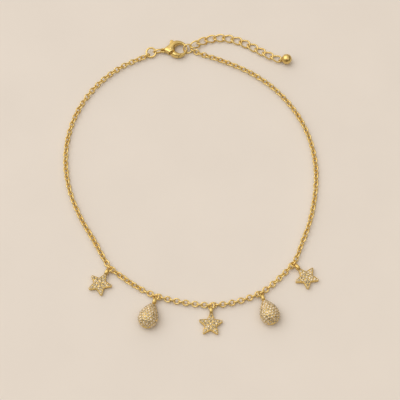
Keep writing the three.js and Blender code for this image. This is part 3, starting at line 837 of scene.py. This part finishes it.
class NECKLACE_OT_clasp(Operator):
    """Lobster clasp: the cast body with its eye and slot, and the sprung lever"""

    bl_idname = "necklace.clasp"
    bl_label = "Clasp"

    def execute(self, context):
        gold = [finish("clasp_gold")]
        middle = CLASP_THICKNESS / 2
        body = Shell()
        body.add_capped(clasp_place(clasp_sweep(pivot_circle(HOOK_RADIUS), cheek_cut, 96)))
        piece = make_piece("clasp_hook", body, gold, "clasp_body", sharp=CLASP_SHARP)
        disc = disc_outline(SLOT["radius"])
        mouth = bar_outline(SLOT["mouth_reach"], SLOT["mouth_width"])
        for outline, angle in ((disc, 0), (mouth, SLOT["mouth_angle"])):
            slot = Shell()
            slot.add_capped(pivot_plate(*outline, SLOT["height"], SLOT["rounding"], angle))
            cut_away(piece, make_piece("slot", slot, gold, None), CLASP_SHARP)

        fittings = Shell()
        eye = cut_ring(CLASP_EYE["radius"], CLASP_EYE["wire"], 0, 48, 16)
        fittings.add_capped(clasp_place(eye + np.array([CLASP_EYE["x"], 0.0, middle])))
        pin_length = CLASP_THICKNESS - PIN["shorter"]
        fittings.add_capped(pivot_plate(*disc_outline(PIN["radius"]), pin_length, PIN["rounding"], 0))
        rivet = ball_rows(1.0, 10, 32, 0) * [RIVET["radius"], RIVET["radius"], RIVET["height"]]
        fittings.add_capped(clasp_place(rivet + np.array([PIVOT_X, 0.0, CLASP_THICKNESS - RIVET["sunk"]])))
        make_piece("clasp_eye_and_pin", fittings, gold, "clasp_body", sharp=CLASP_SHARP)

        lever = Shell()
        gate = clasp_sweep(pivot_circle(GATE_REACH[0]), pivot_circle(GATE_REACH[1]), 40)
        lever.add_capped(clasp_place(gate))
        hub = disc_outline(LEVER_HUB["radius"])
        lever.add_capped(pivot_plate(*hub, LEVER_PLATE, LEVER_HUB["rounding"], 0))
        for bar in (LEVER_FOOT, LEVER_NUB):
            outline = bar_outline(bar["reach"], bar["width"])
            lever.add_capped(pivot_plate(*outline, LEVER_PLATE, LEVER_BAR_ROUNDING, bar["angle"]))
        make_piece("clasp_lever_gate", lever, gold, "clasp_lever", LEVER_BODY, CLASP_SHARP)
        return {"FINISHED"}


def extender_route():
    """Middle line of the extender, and the distances of its links' middles along it."""
    start = ring_point(END_RING, end_ring_frame(), END_RING["extender"])
    route = Route([start, *EXTENDER_ROUTE])
    first = (CURB["length"] - CURB["wire"]) / 2 - CURB["ring_gap"]
    return route, first + CURB["pitch"] * np.arange(CURB["count"])


class NECKLACE_OT_extender(Operator):
    """Curb links of the extender, and the ball on its loop"""

    bl_idname = "necklace.extender"
    bl_label = "Extender"

    def execute(self, context):
        route, middles = extender_route()
        link = wire_link(CURB["length"], CURB["width"], CURB["wire"], CURB["twist"], 48, 12)
        for number, distance in enumerate(middles, 1):
            shell = Shell()
            way = route.way(distance)
            roll = np.radians(np.interp(number, *zip(*EXTENDER_ROLL)))
            hole = np.cos(roll) * UP + np.sin(roll) * unit(np.cross(UP, way))
            rows = placed(link, route.at(distance), way, hole)
            shell.add_loop(rows + max(FLOOR_GAP - rows[..., 2].min(), 0.0) * UP)
            node = f"extender_link_{number:02d}"
            make_piece(f"{node}_wire", shell, [finish("wire_gold")], node)
        self.ball(route, middles[-1] + (CURB["length"] - CURB["wire"]) / 2 + BALL_HOOK_IN)
        return {"FINISHED"}

    def ball(self, route, distance):
        """End ball, and the loop on it that the last link holds."""
        loop = route.at(distance)
        loop[2] = BALL["loop_height"]
        way = unit(route.way(distance) * np.array([1.0, 1.0, 0.0]))
        rise = BALL["height"] - BALL["loop_height"]
        way = turned(way, BALL_TURN)
        centre = loop + way * np.sqrt(BALL_LOOP_OUT**2 - rise**2) + rise * UP
        shell = Shell()
        shell.add_capped(ball_rows(BALL["radius"], 40, 56) + centre)
        ring = cut_ring(BALL["loop_radius"], BALL["loop_wire"], 0, 48, 12)
        shell.add_capped(placed(ring, loop, way, np.cross(UP, way)))
        make_piece("extender_ball_and_loop", shell, [finish("clasp_gold")], "extender_ball")


def charms_of(kind):
    """Each charm of a kind: its number among them, its name, its swing and the place it hangs from."""
    found = [(name, charm) for name, charm in CHARMS.items() if name.startswith(kind)]
    return [(number, name, charm["swing"], charm_ring_frame(charm)[1])
            for number, (name, charm) in enumerate(found)]


def charm_shell(body, swing, place):
    """A charm's body and its bail, swung into place. The bail is an oval on edge at the charm's top: a
    wire link whose wire is flattened to a band."""
    shell = Shell()
    shell.add_capped(turned(body, swing) + place)
    band = wire_link(BAIL["length"], BAIL["width"], BAIL["wire"], 0.0, 40, 16) * [1.0, 1.0, BAIL["band"]]
    rows = placed(band, np.array([0.0, -BAIL["out"], BAIL["height"]]), [0, 1, 0], [1, 0, 0])
    shell.add_loop(turned(rows, swing) + place)
    return shell


def make_charm(name, shell):
    """Piece of a stone-set charm."""
    finishes = [finish("setting_gold"), finish("cut_stone")]
    make_piece(f"{name}_charm", shell, finishes, name, sharp=CHARM_SHARP)


def star_outline(arc_steps=7, side_steps=4):
    """Star with rounded points and notches, and its outward normals. Each fifth is an arc round the
    point's fillet, a straight flank, an arc round the notch's fillet and the next flank."""
    half_step = 180 / STAR["points"]
    corner = polar(STAR["notch"], half_step)
    half_angle = np.degrees(np.arctan2(corner[1], STAR["point"] - corner[0]))
    open_half = 90 - half_angle
    notch_half = half_step - open_half
    sweep = np.linspace(-1, 1, arc_steps)
    tip_out = STAR["point"] - STAR["tip_round"] / np.sin(np.radians(half_angle))
    notch_out = STAR["notch"] + STAR["notch_round"] / np.cos(np.radians(notch_half))
    tip_normals = polar(1.0, sweep * open_half)
    notch_normals = polar(1.0, half_step + sweep * notch_half)
    tip = np.array([tip_out, 0.0, 0.0]) + STAR["tip_round"] * tip_normals
    notch = polar(notch_out, half_step) - STAR["notch_round"] * notch_normals
    t = np.linspace(0, 1, side_steps + 2)[1:-1, None]
    flank = tip[-1] + (notch[0] - tip[-1]) * t
    back = notch[-1] + (turned(tip[0], 2 * half_step) - notch[-1]) * t
    points = np.concatenate([tip, flank, notch, back])
    flank_normals, back_normals = tip_normals[-1] + 0 * flank, notch_normals[-1] + 0 * back
    normals = np.concatenate([tip_normals, flank_normals, notch_normals, back_normals])
    fifths = 90 + 2 * half_step * np.arange(STAR["points"])
    return (np.concatenate([turned(points, a) for a in fifths])[:, :2],
            np.concatenate([turned(normals, a) for a in fifths])[:, :2])


def ring_places(table):
    """Places on rings about the star's middle, from rows of count, distance and first angle."""
    rings = [polar(out, 90 + first + 360 / count * np.arange(count)) for count, out, first in table]
    return np.concatenate(rings)


class NECKLACE_OT_stars(Operator):
    """Star charms: a rimmed plate with its bail, set with stones between small grains"""

    bl_idname = "necklace.stars"
    bl_label = "Star charms"

    def execute(self, context):
        sizes = context.scene.necklace_sizes
        bed = STAR_EDGE[0][1]
        middle = np.array([0.0, -STAR["out"], 0.0])
        stones = ring_places([row[:3] for row in STAR_STONES]) + middle + bed * UP
        radii = np.concatenate([np.full(row[0], row[3]) for row in STAR_STONES])
        grains = [(ring_places([row[:3]]) + middle + bed * UP, row[3]) for row in STAR_GRAINS]
        plate = slab(*star_outline(), STAR_EDGE) + middle
        for seed, name, swing, place in charms_of("star"):
            shell = charm_shell(plate, swing, place)
            for places, radius in grains:
                add_grains(shell, turned(places, swing) + place, np.tile(UP, (len(places), 1)), radius)
            ways = np.tile(turned(ACROSS, swing), (len(stones), 1))
            faces = np.tile(UP, (len(stones), 1))
            centres = turned(stones, swing) + place
            add_stones(shell, sizes, centres, ways, faces, radii, seed, STAR_PAINTED_FACET_LIGHT)
            make_charm(name, shell)
        return {"FINISHED"}


def pear_share(t):
    """Half-width of a drop as a share of its widest: sin t times a power of sin(t / 2)."""

    def shape(angle):
        return np.sin(angle) * np.sin(angle / 2) ** DROP["blunt"]

    return shape(t) / shape(np.linspace(0, np.pi, 721)).max()


def drop_point(t, turn):
    """Point of a drop's skin: t runs from the tip to the round end, and turn goes round its long axis.
    Across is an ellipse that is deeper in front than behind, and flat where it meets the surface."""
    half = DROP["width"] / 2 * pear_share(t)
    rise = np.sin(turn)
    depth = np.where(rise > 0, DROP["front"], DROP["back"]) / (DROP["width"] / 2)
    axis = DROP["tip_height"] + (DROP["belly_height"] - DROP["tip_height"]) * pear_share(t)
    along = DROP["tip"] + DROP["length"] / 2 * (1 - np.cos(t))
    height = np.maximum(0, axis + half * depth * rise)
    return np.stack([half * np.cos(turn), -along + 0 * rise, height], axis=-1)


def drop_outward(t, turn, step=0.01):
    """Outward direction of a drop's skin, square to its two slopes, and the slope from the tip down."""
    down = drop_point(t + step, turn) - drop_point(t - step, turn)
    round_it = drop_point(t, turn + step) - drop_point(t, turn - step)
    return unit(np.cross(round_it, down)), unit(down)


def drop_setting():
    """Angles of a drop's stones in staggered rows, evenly spaced along its skin, and of the grains
    between neighbours in a row."""
    stones, grains = [], []
    t = np.radians(np.linspace(DROP_ROWS["first"], DROP_ROWS["last"], 200))
    down = spaced(drop_point(t, 0 * t + np.pi / 2))
    rows = np.interp(np.arange(0, down[-1], DROP_ROW_PITCH), down, t)
    side = np.radians(np.linspace(0, DROP_ROWS["reach"], 80))
    for number, row in enumerate(rows):
        across = spaced(drop_point(row + 0 * side, np.pi / 2 - side))
        shift = 0.5 * (number % 2)
        count = int(across[-1] / DROP_STONE_PITCH - shift)
        step = np.arange(-count, count + 1) if shift == 0 else np.arange(-count - 1, count + 1) + shift
        for places, found in ((step, stones), (np.append(step, step[-1] + 1) - 0.5, grains)):
            turn = np.interp(np.abs(places) * DROP_STONE_PITCH, across, side) * np.sign(places)
            found.append(np.stack([np.full(len(places), row), np.pi / 2 - turn], axis=-1))
    return np.concatenate(stones).T, np.concatenate(grains).T


class NECKLACE_OT_drops(Operator):
    """Drop charms: a pear-shaped shell with its bail, set with stones over its front"""

    bl_idname = "necklace.drops"
    bl_label = "Drop charms"

    def execute(self, context):
        sizes = context.scene.necklace_sizes
        t = np.linspace(POLE_GAP, np.pi - POLE_GAP, 48)[:, None]
        turn = np.linspace(TURN, 0, 64, endpoint=False)[None, :]
        skin = drop_point(t + 0 * turn, turn + 0 * t)
        stones, grains = drop_setting()
        for seed, name, swing, place in charms_of("drop"):
            shell = charm_shell(skin, swing, place)
            outward, _ = drop_outward(*grains)
            add_grains(shell, turned(drop_point(*grains), swing) + place, turned(outward, swing), GRAIN)
            outward, down = drop_outward(*stones)
            centres = turned(drop_point(*stones), swing) + place
            radii = np.full(len(centres), DROP_STONE)
            ways, faces = turned(down, swing), turned(outward, swing)
            add_stones(shell, sizes, centres, ways, faces, radii, seed + DROP_SEED, DROP_PAINTED_FACET_LIGHT)
            make_charm(name, shell)
        return {"FINISHED"}


class NECKLACE_PT_panel(Panel):
    """Sidebar list of the necklace's pieces"""

    bl_idname = "NECKLACE_PT_panel"
    bl_label = "Charm necklace"
    bl_space_type = "VIEW_3D"
    bl_region_type = "UI"
    bl_category = "Necklace"

    def draw(self, context):
        for group in (context.scene.necklace_sizes, context.scene.necklace_finish):
            for name in group.__annotations__:
                self.layout.prop(group, name)
        for operator in OPERATORS:
            self.layout.operator(operator.bl_idname)


OPERATORS = (
    NECKLACE_OT_stage,
    NECKLACE_OT_chain,
    NECKLACE_OT_rings,
    NECKLACE_OT_clasp,
    NECKLACE_OT_extender,
    NECKLACE_OT_stars,
    NECKLACE_OT_drops,
)
CLASSES = (NecklaceSizes, NecklaceFinish, *OPERATORS, NECKLACE_PT_panel)


def register():
    for cls in CLASSES:
        bpy.utils.register_class(cls)
    bpy.types.Scene.necklace_sizes = PointerProperty(type=NecklaceSizes)
    bpy.types.Scene.necklace_finish = PointerProperty(type=NecklaceFinish)


def unregister():
    del bpy.types.Scene.necklace_finish
    del bpy.types.Scene.necklace_sizes
    for cls in reversed(CLASSES):
        bpy.utils.unregister_class(cls)


def main():
    """Builds the stage and every piece."""
    register()
    bpy.ops.necklace.stage()
    bpy.ops.necklace.chain()
    bpy.ops.necklace.rings()
    bpy.ops.necklace.clasp()
    bpy.ops.necklace.extender()
    bpy.ops.necklace.stars()
    bpy.ops.necklace.drops()


if __name__ == "__main__":
    main()
